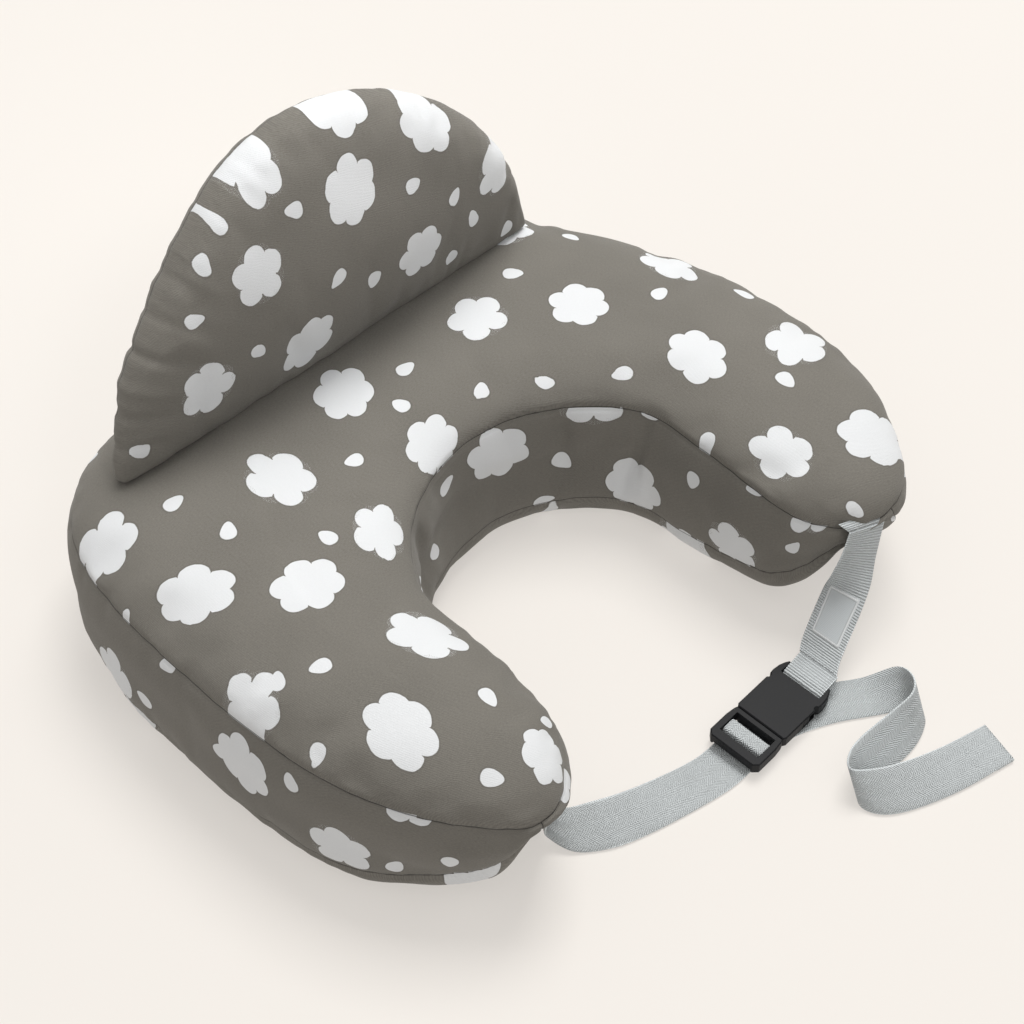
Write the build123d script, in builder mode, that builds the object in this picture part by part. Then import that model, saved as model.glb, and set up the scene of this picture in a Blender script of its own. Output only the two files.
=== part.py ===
from build123d import *
import os
from math import cos, radians, sin

os.makedirs("parts", exist_ok=True)

# Nursing pillow: a U-shaped cushion with a half-moon head guard standing across
# its back, and a waist belt of webbing with a side-release buckle.
# Millimetres. +Z up, floor at Z = 0. +X across the two arms, -Y is the open
# side that faces the wearer, +Y is the back where the guard stands.

# ---- driving dimensions -----------------------------------------------------
HEIGHT = 152.0            # cushion, floor to crown
ROLL = 28.0               # radius from the walls onto the crown and the base
BACK_Y = 291.0            # rearmost point of the cushion
BACK_RADIUS = 650.0       # plan radius of the back wall, which the zip follows
BACK_ANGLE = 17.92        # degrees of that arc each side of the middle
INNER_Y = 24.0            # innermost point of the waist opening
INNER_WALL = 104.0        # straight inner wall of each arm
CLOTH = 1.2               # cover cloth
CASING = 0.8              # inner casing cloth
TIP_RISE = 42.0           # how far the underside lifts at the arm tips
TIP_DROP = 19.0           # how far the crown falls there
TIP_SEAM_X = 203.0        # where the outer band meets the inner band

GUARD_R = 225.0           # half-moon radius
GUARD_T = 40.0            # half thickness at its middle
GUARD_BASE = 36.0         # radius of its rounded lower edge
GUARD_X = -4.0
GUARD_Y = 188.0           # where it stands on the top panel
GUARD_GAP = 1.2           # from the crown to its lower edge
GUARD_LEAN = 11.0         # degrees, towards the back
GUARD_TURN = -3.0         # degrees, about Z

WEB = 38.0                # webbing width
WEB_T = 1.5               # webbing thickness

ZIP_Z = 76.0
ZIP_HALF = 11.5           # degrees each side of the middle of the back
ZIP_SLOT = 12.0           # opening in the band
SLIDER_AT = 9.9           # degrees from the middle, zip closed

BUCKLE_Y = -257.5         # belt line
BUCKLE_LOW = 4.4          # underside of both buckle halves
BUCKLE_TOP = 15.6
BUCKLE_MID = (BUCKLE_LOW + BUCKLE_TOP) / 2

# ---- the cushion's envelope -------------------------------------------------
BACK_CENTRE = BACK_Y - BACK_RADIUS


def outline(inset):
    """The U outline in plan, moved inwards by inset: one chain of tangent arcs."""
    with BuildSketch() as plan:
        with BuildLine():
            back = JernArc((0, BACK_Y), (1, 0), BACK_RADIUS, -BACK_ANGLE)
            corner = JernArc(back @ 1, back % 1, 132.0, -59.2)
            side = JernArc(corner @ 1, corner % 1, 714.0, -19.3)
            taper = JernArc(side @ 1, side % 1, 241.0, -41.2)
            waist = JernArc((0, INNER_Y), (1, 0), 130.0, -51.8)
            bend = JernArc(waist @ 1, waist % 1, 70.4, -39.2)
            wall = Line(bend @ 1, bend @ 1 + (bend % 1) * INNER_WALL)
            TangentArc(taper @ 1, wall @ 1, tangent=taper % 1)
            mirror(about=Plane.YZ)
        make_face()
        if inset:
            offset(amount=-inset)
    return plan.sketch


def side_region(low, high):
    """A slab across the whole width between two side profiles.

    Each profile is its height over the body and its height at the arm tips.
    """
    y_in, y_mid, y_tip, y_out = -95.0, -180.0, -250.0, -275.0
    ends = [tip + 0.3 * (tip - body) for body, tip in (low, high)]
    with BuildPart() as slab:
        with BuildSketch(Plane.YZ):
            with BuildLine():
                Line((330, low[0]), (330, high[0]))
                for (body, tip), end in zip((low, high), ends):
                    Line((330, body), (y_in, body))
                    Spline((y_in, body), (y_mid, body + 0.35 * (tip - body)),
                           (y_tip, tip), (y_out, end),
                           tangents=[(-1, 0), (y_out - y_tip, end - tip)])
                Line((y_out, ends[0]), (y_out, ends[1]))
            make_face()
        extrude(amount=340, both=True)
    return slab.part


def profile(height, tip):
    return (height, height + tip)


def envelope(inset):
    """The cushion's outer shape, moved inwards by inset."""
    slab = side_region(profile(inset, TIP_RISE), profile(HEIGHT - inset, -TIP_DROP))
    with BuildPart() as body:
        extrude(outline(inset), amount=220)
        add(slab, mode=Mode.INTERSECT)
        rims = [e for e in body.edges() if max(e.bounding_box().size.X,
                                               e.bounding_box().size.Y) > 1]
        fillet(rims, radius=ROLL - inset)
    return body.part


def back_arc(r_low, r_high, z_low, z_high, half_angle, middle=0.0):
    """A block that follows the back wall: radii about the back arc's centre."""
    a = radians(middle + half_angle)
    across = Plane(origin=(0, BACK_CENTRE, 0), x_dir=(sin(a), cos(a), 0),
                   z_dir=(cos(a), -sin(a), 0))
    with BuildPart() as block:
        with BuildSketch(across):
            with Locations(((r_low + r_high) / 2, (z_low + z_high) / 2)):
                Rectangle(r_high - r_low, z_high - z_low)
        revolve(axis=Axis((0, BACK_CENTRE, 0), (0, 0, 1)), revolution_arc=2 * half_angle)
    return block.part


def between(a, b, c, d, t):
    """A point on the smooth curve from b to c, with neighbours a and d."""
    a, b, c, d = Vector(*a), Vector(*b), Vector(*c), Vector(*d)
    ahead = (c - a) * t
    bend = (a * 2 - b * 5 + c * 4 - d) * (t * t)
    twist = (b * 3 - a - c * 3 + d) * (t * t * t)
    return b + (ahead + bend + twist) * 0.5


def ribbon(stations, thickness, lift=0.0, margin=0.0, steps=3):
    """Webbing through stations, each a pair of points on its two edges."""
    edges = []
    for i in range(len(stations) - 1):
        near = [stations[max(i - 1, 0)], stations[i], stations[i + 1],
                stations[min(i + 2, len(stations) - 1)]]
        for k in range(steps):
            edges.append([between(*[pair[side] for pair in near], k / steps)
                          for side in (0, 1)])
    edges.append([Vector(*point) for point in stations[-1]])
    mids = [(b + t) * 0.5 for b, t in edges]
    with BuildPart() as strip:
        for i, (b, t) in enumerate(edges):
            across = t - b
            along = mids[min(i + 1, len(mids) - 1)] - mids[max(i - 1, 0)]
            along = along - across * (along.dot(across) / across.dot(across))
            up = along.normalized().cross(across.normalized())
            place = Plane(origin=mids[i] + up * lift, x_dir=across, z_dir=along)
            with BuildSketch(place):
                Rectangle(across.length - 2 * margin, thickness)
        loft(ruled=True)
    return strip.part


def web_path(points, radius):
    """Webbing square to the belt line, along a path given as (x, z)."""
    with BuildPart() as strip:
        with BuildSketch(Plane.XZ.offset(-BUCKLE_Y)):
            with BuildLine():
                FilletPolyline(*points, radius=radius)
                offset(amount=WEB_T / 2, side=Side.BOTH)
            make_face()
        extrude(amount=WEB / 2, both=True)
    return strip.part


outer_skin = envelope(0)
cloth_inside = envelope(CLOTH)
casing_inside = envelope(CLOTH + CASING)
above = profile(HEIGHT + 20, -TIP_DROP)
below = profile(-20, TIP_RISE)
top_seam = profile(HEIGHT - ROLL, -TIP_DROP)
low_seam = profile(ROLL, TIP_RISE)
top_zone = side_region(top_seam, above)
band_zone = side_region(low_seam, top_seam)
low_zone = side_region(below, low_seam)

# ---- cushion: filling, casing and cover -------------------------------------
with BuildPart() as pillow_filling:
    add(casing_inside)
pillow_filling.part.label = "pillow_filling"
export_step(pillow_filling.part, "parts/pillow_filling.step")

with BuildPart() as inner_casing:
    add(cloth_inside)
    add(casing_inside, mode=Mode.SUBTRACT)
inner_casing.part.label = "inner_casing"
export_step(inner_casing.part, "parts/inner_casing.step")

with BuildPart() as cover_top_panel:
    add(outer_skin)
    add(cloth_inside, mode=Mode.SUBTRACT)
    add(top_zone, mode=Mode.INTERSECT)
cover_top_panel.part.label = "cover_top_panel"
export_step(cover_top_panel.part, "parts/cover_top_panel.step")

with BuildPart() as cover_bottom_panel:
    add(outer_skin)
    add(cloth_inside, mode=Mode.SUBTRACT)
    add(low_zone, mode=Mode.INTERSECT)
cover_bottom_panel.part.label = "cover_bottom_panel"
export_step(cover_bottom_panel.part, "parts/cover_bottom_panel.step")

with BuildPart() as cover_inner_band:
    add(outer_skin)
    add(cloth_inside, mode=Mode.SUBTRACT)
    add(band_zone, mode=Mode.INTERSECT)
    with Locations((0, -130, 80)):
        Box(2 * TIP_SEAM_X, 380, 200, mode=Mode.INTERSECT)
cover_inner_band.part.label = "cover_inner_band"
export_step(cover_inner_band.part, "parts/cover_inner_band.step")

with BuildPart() as cover_outer_band:
    add(outer_skin)
    add(cloth_inside, mode=Mode.SUBTRACT)
    add(band_zone, mode=Mode.INTERSECT)
    with Locations((0, -130, 80)):
        Box(2 * TIP_SEAM_X, 380, 200, mode=Mode.SUBTRACT)
    add(back_arc(BACK_RADIUS - 5, BACK_RADIUS + 5, ZIP_Z - ZIP_SLOT / 2, ZIP_Z + ZIP_SLOT / 2,
                 ZIP_HALF), mode=Mode.SUBTRACT)
cover_outer_band.part.label = "cover_outer_band"
export_step(cover_outer_band.part, "parts/cover_outer_band.step")

# ---- zip in the back of the outer band --------------------------------------
TAPE_IN = BACK_RADIUS - CLOTH
TAPE_OUT = TAPE_IN + 0.8
COIL_OUT = TAPE_OUT + 1.4
PLATE_IN = COIL_OUT + 0.4
PLATE_OUT = PLATE_IN + 1.2

with BuildPart() as zip_tape_upper:
    add(back_arc(TAPE_IN, TAPE_OUT, ZIP_Z + 0.2, ZIP_Z + ZIP_SLOT / 2, ZIP_HALF))
zip_tape_upper.part.label = "zip_tape_upper"
export_step(zip_tape_upper.part, "parts/zip_tape_upper.step")

with BuildPart() as zip_tape_lower:
    add(back_arc(TAPE_IN, TAPE_OUT, ZIP_Z - ZIP_SLOT / 2, ZIP_Z - 0.2, ZIP_HALF))
zip_tape_lower.part.label = "zip_tape_lower"
export_step(zip_tape_lower.part, "parts/zip_tape_lower.step")

with BuildPart() as zip_coil_upper:
    add(back_arc(TAPE_OUT, COIL_OUT, ZIP_Z + 0.2, ZIP_Z + 2.2, ZIP_HALF - 0.9))
zip_coil_upper.part.label = "zip_coil_upper"
export_step(zip_coil_upper.part, "parts/zip_coil_upper.step")

with BuildPart() as zip_coil_lower:
    add(back_arc(TAPE_OUT, COIL_OUT, ZIP_Z - 2.2, ZIP_Z - 0.2, ZIP_HALF - 0.9))
zip_coil_lower.part.label = "zip_coil_lower"
export_step(zip_coil_lower.part, "parts/zip_coil_lower.step")

with BuildPart() as zip_end_stops:
    for end in (-1, 1):
        add(back_arc(TAPE_OUT, COIL_OUT + 0.4, ZIP_Z - 2.6, ZIP_Z + 2.6, 0.18,
                     end * (ZIP_HALF - 0.6)))
zip_end_stops.part.label = "zip_end_stops"
export_step(zip_end_stops.part, "parts/zip_end_stops.step")

slider_angle = radians(SLIDER_AT)
slider_plane = Plane(origin=(0, BACK_CENTRE, 0), x_dir=(cos(slider_angle), -sin(slider_angle), 0),
                     z_dir=(sin(slider_angle), cos(slider_angle), 0))
slider_x = slider_plane.x_dir
slider_out = slider_plane.z_dir
PIVOT_OUT = PLATE_OUT + 2.6
PIVOT_Z = ZIP_Z + 1.0
pivot = Vector(0, BACK_CENTRE, PIVOT_Z) + slider_out * PIVOT_OUT
pivot_plane = Plane(origin=pivot, x_dir=slider_out, z_dir=slider_x)

with BuildPart() as zip_slider:
    add(back_arc(PLATE_IN, PLATE_OUT, ZIP_Z - 4.5, ZIP_Z + 4.5, 0.44, SLIDER_AT))
    for low in (-4.5, 3.0):
        add(back_arc(TAPE_OUT + 0.3, PLATE_IN, ZIP_Z + low, ZIP_Z + low + 1.5, 0.44, SLIDER_AT))
    for side in (-3.6, 3.6):
        with BuildSketch(pivot_plane.offset(side)):
            with Locations((-0.9, 0)):
                RectangleRounded(4.4, 3.6, 1.0)
        extrude(amount=0.6, both=True)
    with BuildSketch(pivot_plane):
        Circle(0.8)
    extrude(amount=3.2, both=True)
zip_slider.part.label = "zip_slider"
export_step(zip_slider.part, "parts/zip_slider.step")

with BuildPart() as zip_pull:
    with BuildSketch(pivot_plane):
        Circle(1.8)
    extrude(amount=2.7, both=True)
    with BuildSketch(Plane(origin=pivot, x_dir=slider_x * -1, z_dir=slider_out)):
        with Locations((0, -2.5)):
            Rectangle(5.0, 5.0)
        with Locations((0, -14)):
            RectangleRounded(8.0, 20.0, 2.5)
        with Locations((0, -20)):
            Circle(1.6, mode=Mode.SUBTRACT)
    extrude(amount=0.7, both=True)
    with BuildSketch(pivot_plane):
        Circle(0.85)
    extrude(amount=4, both=True, mode=Mode.SUBTRACT)
zip_pull.part.label = "zip_pull"
export_step(zip_pull.part, "parts/zip_pull.step")

# ---- head guard -------------------------------------------------------------
turn = radians(GUARD_TURN)
lean = radians(GUARD_LEAN)
guard_u = Vector(cos(turn), sin(turn), 0)
guard_up = Vector(-sin(turn) * sin(lean), cos(turn) * sin(lean), cos(lean))
guard_front = guard_u.cross(guard_up)
guard_axis_at = Vector(GUARD_X, GUARD_Y, HEIGHT + GUARD_GAP + GUARD_BASE)
guard_plane = Plane(origin=guard_axis_at, x_dir=guard_u, z_dir=guard_front)
guard_foot = guard_axis_at - guard_up * GUARD_BASE


def guard_shape(inset):
    """A half-moon cushion on a rounded lower edge, moved inwards by inset."""
    r = GUARD_R - inset
    t = GUARD_T - inset
    with BuildPart() as moon:
        with BuildSketch(Plane(origin=guard_foot, x_dir=guard_u, z_dir=guard_up * -1)):
            with BuildLine():
                Spline((0, t), (0.45 * r, 0.93 * t), (0.8 * r, 0.62 * t), (r, 0),
                       tangents=[(1, 0), (0, -1)])
                Line((0, t), (0, 0))
                Line((0, 0), (r, 0))
            make_face()
            mirror(about=Plane.XZ)
        revolve(axis=Axis(guard_foot, guard_front))
        with BuildSketch(guard_plane):
            with Locations((0, 150)):
                Rectangle(500, 300)
        extrude(amount=60, both=True, mode=Mode.INTERSECT)
    with BuildPart() as foot:
        with BuildSketch(Plane(origin=guard_foot, x_dir=guard_u, z_dir=guard_up * -1)):
            with BuildLine():
                Spline((0, t), (0.45 * r, 0.93 * t), (0.8 * r, 0.62 * t), (r, 0),
                       tangents=[(1, 0), (0, -1)])
                Line((0, t), (0, 0))
                Line((0, 0), (r, 0))
            make_face()
            mirror(about=Plane.XZ)
        revolve(axis=Axis(guard_foot, guard_front))
        with BuildSketch(Plane(origin=guard_axis_at, x_dir=guard_front, z_dir=guard_u)):
            Circle(GUARD_BASE - inset)
        extrude(amount=260, both=True, mode=Mode.INTERSECT)
    return moon.part + foot.part


guard_outside = guard_shape(0)
guard_inside = guard_shape(CLOTH)

with BuildPart() as guard_filling:
    add(guard_inside)
guard_filling.part.label = "guard_filling"
export_step(guard_filling.part, "parts/guard_filling.step")

with BuildPart() as guard_front_panel:
    add(guard_outside)
    add(guard_inside, mode=Mode.SUBTRACT)
    with BuildSketch(guard_plane):
        with Locations((0, 120)):
            Rectangle(500, 300)
    extrude(amount=60, mode=Mode.INTERSECT)
guard_front_panel.part.label = "guard_front_panel"
export_step(guard_front_panel.part, "parts/guard_front_panel.step")

with BuildPart() as guard_back_panel:
    add(guard_outside)
    add(guard_inside, mode=Mode.SUBTRACT)
    with BuildSketch(guard_plane):
        with Locations((0, 120)):
            Rectangle(500, 300)
    extrude(amount=-60, mode=Mode.INTERSECT)
guard_back_panel.part.label = "guard_back_panel"
export_step(guard_back_panel.part, "parts/guard_back_panel.step")

with BuildPart() as guard_base_strip:
    add(guard_outside)
    add(guard_inside, mode=Mode.SUBTRACT)
    with BuildSketch(guard_plane):
        with Locations((0, -45)):
            Rectangle(500, 30)
    extrude(amount=60, both=True, mode=Mode.INTERSECT)
guard_base_strip.part.label = "guard_base_strip"
export_step(guard_base_strip.part, "parts/guard_base_strip.step")

with BuildPart() as guard_anchor_tape:
    with BuildSketch(Plane(origin=(GUARD_X, GUARD_Y, HEIGHT), x_dir=guard_u, z_dir=(0, 0, 1))):
        Rectangle(380, 14)
    extrude(amount=0.7)
guard_anchor_tape.part.label = "guard_anchor_tape"
export_step(guard_anchor_tape.part, "parts/guard_anchor_tape.step")

# ---- belt: webbing ----------------------------------------------------------
web_skin = envelope(-WEB_T)

with BuildPart() as label_strap_anchor:
    add(web_skin)
    add(outer_skin, mode=Mode.SUBTRACT)
    with Locations((171.5, -243, 98)):
        Box(36, 40, 12, mode=Mode.INTERSECT)
label_strap_anchor.part.label = "label_strap_anchor"
export_step(label_strap_anchor.part, "parts/label_strap_anchor.step")

with BuildPart() as left_strap_anchor:
    add(web_skin)
    add(outer_skin, mode=Mode.SUBTRACT)
    with Locations((-182, -240, 85)):
        Box(30, 60, WEB, mode=Mode.INTERSECT)
left_strap_anchor.part.label = "left_strap_anchor"
export_step(left_strap_anchor.part, "parts/left_strap_anchor.step")

label_run = [
    ((190, -250.5, 92), (154.5, -244.5, 99)),
    ((178, -253, 73), (148, -243.5, 91)),
    ((164, -256, 58), (138, -233.5, 68)),
    ((142, -266, 43), (133, -229.5, 46)),
    ((112, -270.5, 24), (112, -232.5, 23)),
    ((100, -276.5, 18), (100, -238.5, 18)),
]
with BuildPart() as label_strap:
    add(ribbon(label_run, WEB_T))
label_strap.part.label = "label_strap"
export_step(label_strap.part, "parts/label_strap.step")

with BuildPart() as label_strap_loop:
    add(web_path([(99.2, 17.8), (84, 14.2), (78.4, 12), (78.4, 8), (84, 5.6), (99.2, 15.6)], 2.0))
label_strap_loop.part.label = "label_strap_loop"
export_step(label_strap_loop.part, "parts/label_strap_loop.step")

with BuildPart() as label_patch:
    add(ribbon(label_run, 0.5, lift=-(WEB_T / 2 + 0.3), margin=5.0))
    with Locations((124.5, -247, 35)):
        Box(30, 60, 60, mode=Mode.INTERSECT)
label_patch.part.label = "label_patch"
export_step(label_patch.part, "parts/label_patch.step")

left_run = [
    ((-182, -248.8, 66), (-179, -248.6, 104)),
    ((-165, -252, 46), (-156, -246, 82)),
    ((-147, -254, 17), (-131, -240, 49)),
    ((-125, -258, 2.4), (-108, -232, 24)),
    ((-99, -263, 1.4), (-86, -229.5, 12)),
    ((-70, -269, 1.4), (-62, -232, 4)),
    ((-38, -274.5, 1.4), (-34, -236.5, 2)),
    ((-13.4, -276.5, 1.6), (-13.4, -238.5, 1.6)),
]
with BuildPart() as left_strap:
    add(ribbon(left_run, WEB_T))
left_strap.part.label = "left_strap"
export_step(left_strap.part, "parts/left_strap.step")

with BuildPart() as adjuster_loop:
    add(web_path([(-12.5, 1.6), (0.4, 1.6), (4, 12.6), (14.8, 12.6), (18.4, 1.6), (25.6, 1.6)], 2.0))
adjuster_loop.part.label = "adjuster_loop"
export_step(adjuster_loop.part, "parts/adjuster_loop.step")

tail_run = [
    ((26.4, -276.5, 1.6), (26.4, -238.5, 1.6)),
    ((50, -284, 1.4), (60, -247, 1.6)),
    ((76, -297, 1.4), (94, -264, 2.0)),
    ((105, -317, 1.4), (123, -285, 3.0)),
    ((124, -330, 1.4), (139, -305, 22)),
    ((129, -341, 1.4), (133, -323, 34)),
    ((120, -350, 1.4), (119, -333, 35)),
    ((96, -356, 1.4), (95, -330, 29)),
    ((61, -354, 1.4), (62, -327, 28)),
    ((40, -348, 1.4), (39, -332, 35)),
    ((27, -358, 1.4), (30, -340, 34)),
    ((32, -374, 1.4), (42, -349, 28)),
    ((52, -389, 1.4), (66, -361, 22)),
    ((92, -406, 1.8), (107, -373, 11)),
    ((143, -420, 3.0), (154, -384, 3.2)),
]
with BuildPart() as belt_tail:
    add(ribbon(tail_run, WEB_T))
belt_tail.part.label = "belt_tail"
export_step(belt_tail.part, "parts/belt_tail.step")

with BuildPart() as tail_hem:
    add(ribbon(tail_run[-3:], WEB_T, lift=-(WEB_T + 0.05)))
    with BuildSketch(Plane.XY):
        with Locations(Location((142.5, -399, 0), -17)):
            Rectangle(14, 60)
    extrude(amount=20, mode=Mode.INTERSECT)
tail_hem.part.label = "tail_hem"
export_step(tail_hem.part, "parts/tail_hem.step")

# ---- belt: side-release buckle ----------------------------------------------
SOCKET_X = 26.0           # mouth of the socket
SOCKET_END = 88.5
CAVITY_END = 70.0
SLOT_HALF = 19.4          # half width of the webbing slots
CAVITY_HALF = 17.2
PLUG_X = -9.5             # outer end of the adjuster frame
PLUG_END = 25.4
FRAME_HALF = 25.0
ARM_X = 26.2              # root of the release arms
ARM_END = 66.0
ARM_IN = 11.5
ARM_OUT = 15.0
HEAD = (50.6, 62.8)       # button on each arm, in the socket's side window
deck = Plane(origin=(0, BUCKLE_Y, BUCKLE_LOW))
thick = BUCKLE_TOP - BUCKLE_LOW


def belt_box(x_low, x_high, half_width, z_low, z_high):
    """A block centred on the belt line, for the buckle's slots and bars."""
    with BuildPart() as block:
        with Locations(((x_low + x_high) / 2, BUCKLE_Y, (z_low + z_high) / 2)):
            Box(x_high - x_low, 2 * half_width, z_high - z_low)
    return block.part


with BuildPart() as buckle_socket:
    with BuildSketch(deck):
        with BuildLine():
            Polyline((SOCKET_X, 0), (SOCKET_X, 23), (28.4, 24.5), (64, 24.5), (65.5, 23),
                     (67.5, 23), (69, 24.8), (73, 25.2), (80, 24.4), (85, 22.6),
                     (SOCKET_END, 20.6), (SOCKET_END, 0))
            mirror(about=Plane.XZ)
        make_face()
    extrude(amount=thick)
    top_face = buckle_socket.faces().sort_by(Axis.Z)[-1]
    low_face = buckle_socket.faces().sort_by(Axis.Z)[0]
    chamfer(top_face.edges() + low_face.edges(), length=0.9)
    add(belt_box(SOCKET_X - 2, CAVITY_END, CAVITY_HALF, BUCKLE_MID - 3.6, BUCKLE_MID + 3.6),
        mode=Mode.SUBTRACT)
    for side in (-1, 1):
        with Locations((57, BUCKLE_Y + side * 20.5, BUCKLE_MID)):
            Box(14, 15, 7.8, mode=Mode.SUBTRACT)
    add(belt_box(75.5, 81, SLOT_HALF, 0, 20), mode=Mode.SUBTRACT)
    add(belt_box(86, 92, SLOT_HALF, 0, 20), mode=Mode.SUBTRACT)
    add(belt_box(80, 87, SLOT_HALF, 0, BUCKLE_MID - 2), mode=Mode.SUBTRACT)
    add(belt_box(80, 87, SLOT_HALF, BUCKLE_MID + 2, 20), mode=Mode.SUBTRACT)
    bar = buckle_socket.edges().filter_by(Axis.Y).filter_by(
        lambda e: 80 < e.center().X < 87 and e.length > 30)
    fillet(bar, radius=1.2)
buckle_socket.part.label = "buckle_socket"
export_step(buckle_socket.part, "parts/buckle_socket.step")

with BuildPart() as buckle_plug:
    with BuildSketch(deck):
        with BuildLine():
            Polyline((PLUG_X, 0), (PLUG_X, 21), (PLUG_X + 4, FRAME_HALF), (14.4, FRAME_HALF),
                     (22.4, 24), (PLUG_END, 23), (PLUG_END, 0))
            mirror(about=Plane.XZ)
        make_face()
    extrude(amount=thick)
    top_face = buckle_plug.faces().sort_by(Axis.Z)[-1]
    low_face = buckle_plug.faces().sort_by(Axis.Z)[0]
    chamfer(top_face.edges() + low_face.edges(), length=0.9)
    add(belt_box(-1.1, 20.8, SLOT_HALF, 0, 20), mode=Mode.SUBTRACT)
    add(belt_box(6, 13, SLOT_HALF + 1, BUCKLE_MID - 2, BUCKLE_MID + 1.2))
    bar = buckle_plug.edges().filter_by(Axis.Y).filter_by(
        lambda e: 5.4 < e.center().X < 13.4 and e.length > 30)
    fillet(bar, radius=1.2)
    add(belt_box(PLUG_X - 1, -1, SLOT_HALF, 0, BUCKLE_LOW + 3.2), mode=Mode.SUBTRACT)
    add(belt_box(PLUG_END, 60, 3.6, BUCKLE_MID - 2.8, BUCKLE_MID + 2.8))
    nose = buckle_plug.edges().filter_by(Axis.Z).sort_by(Axis.X)[-2:]
    fillet(nose, radius=2.5)
buckle_plug.part.label = "buckle_plug"
export_step(buckle_plug.part, "parts/buckle_plug.step")


def release_arm(side):
    """One sprung arm of the plug, with its rounded root, button and catch."""
    root_radius = (ARM_OUT - ARM_IN) / 2
    root = ARM_X + root_radius
    with BuildPart() as arm:
        with BuildSketch(Plane(origin=(0, BUCKLE_Y, BUCKLE_MID - 2.9))):
            with BuildLine():
                Polyline((root, ARM_IN), (root, ARM_OUT), (HEAD[0], ARM_OUT),
                         (HEAD[0], 23.6), (HEAD[0] + 1, 24.3), (58, 24.3), (HEAD[1], 18.6),
                         (ARM_END, 13.2), (ARM_END - 1.6, ARM_IN), close=True)
            make_face()
            with Locations((root, (ARM_IN + ARM_OUT) / 2)):
                Circle(root_radius)
        extrude(amount=5.8)
    return arm.part if side > 0 else arm.part.mirror(Plane((0, BUCKLE_Y, 0), z_dir=(0, 1, 0)))


with BuildPart() as release_arm_left:
    add(release_arm(-1))
release_arm_left.part.label = "release_arm_left"
export_step(release_arm_left.part, "parts/release_arm_left.step")

with BuildPart() as release_arm_right:
    add(release_arm(1))
release_arm_right.part.label = "release_arm_right"
export_step(release_arm_right.part, "parts/release_arm_right.step")
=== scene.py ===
import math

import bpy
import numpy as np
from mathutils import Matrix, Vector


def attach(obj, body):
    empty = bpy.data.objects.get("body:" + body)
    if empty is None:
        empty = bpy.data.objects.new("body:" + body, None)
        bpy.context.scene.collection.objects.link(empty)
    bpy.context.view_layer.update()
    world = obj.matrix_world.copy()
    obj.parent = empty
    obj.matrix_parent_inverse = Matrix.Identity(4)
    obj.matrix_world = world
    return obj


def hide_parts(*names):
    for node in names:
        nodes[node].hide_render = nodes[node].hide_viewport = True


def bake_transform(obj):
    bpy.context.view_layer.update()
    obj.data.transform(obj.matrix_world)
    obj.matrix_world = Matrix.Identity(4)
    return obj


# A U-shaped nursing pillow with a half-moon head guard and a webbing belt.
# Lengths are in millimetres in the tables and helpers, and in metres in Blender.

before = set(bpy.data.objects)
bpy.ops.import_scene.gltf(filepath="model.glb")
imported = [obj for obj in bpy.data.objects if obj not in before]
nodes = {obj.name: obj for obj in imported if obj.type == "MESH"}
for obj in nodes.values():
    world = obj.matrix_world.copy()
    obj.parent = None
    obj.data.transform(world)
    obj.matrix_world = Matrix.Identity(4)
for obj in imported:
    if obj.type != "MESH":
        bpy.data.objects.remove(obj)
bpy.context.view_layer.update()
scene = bpy.context.scene
MM = 0.001
rng = np.random.default_rng(7)


# ---- node trees, written as expressions ----
class Value:
    """A node's output, for use in sums and products."""

    def __init__(self, graph, socket):
        self.graph, self.socket = graph, socket

    def __add__(self, other):
        return self.graph.math("ADD", self, other)

    def __sub__(self, other):
        return self.graph.math("SUBTRACT", self, other)

    def __rsub__(self, other):
        return self.graph.math("SUBTRACT", other, self)

    def __mul__(self, other):
        return self.graph.math("MULTIPLY", self, other)

    def __truediv__(self, other):
        return self.graph.math("DIVIDE", self, other)

    def __rtruediv__(self, other):
        return self.graph.math("DIVIDE", other, self)

    __radd__, __rmul__ = __add__, __mul__


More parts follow.
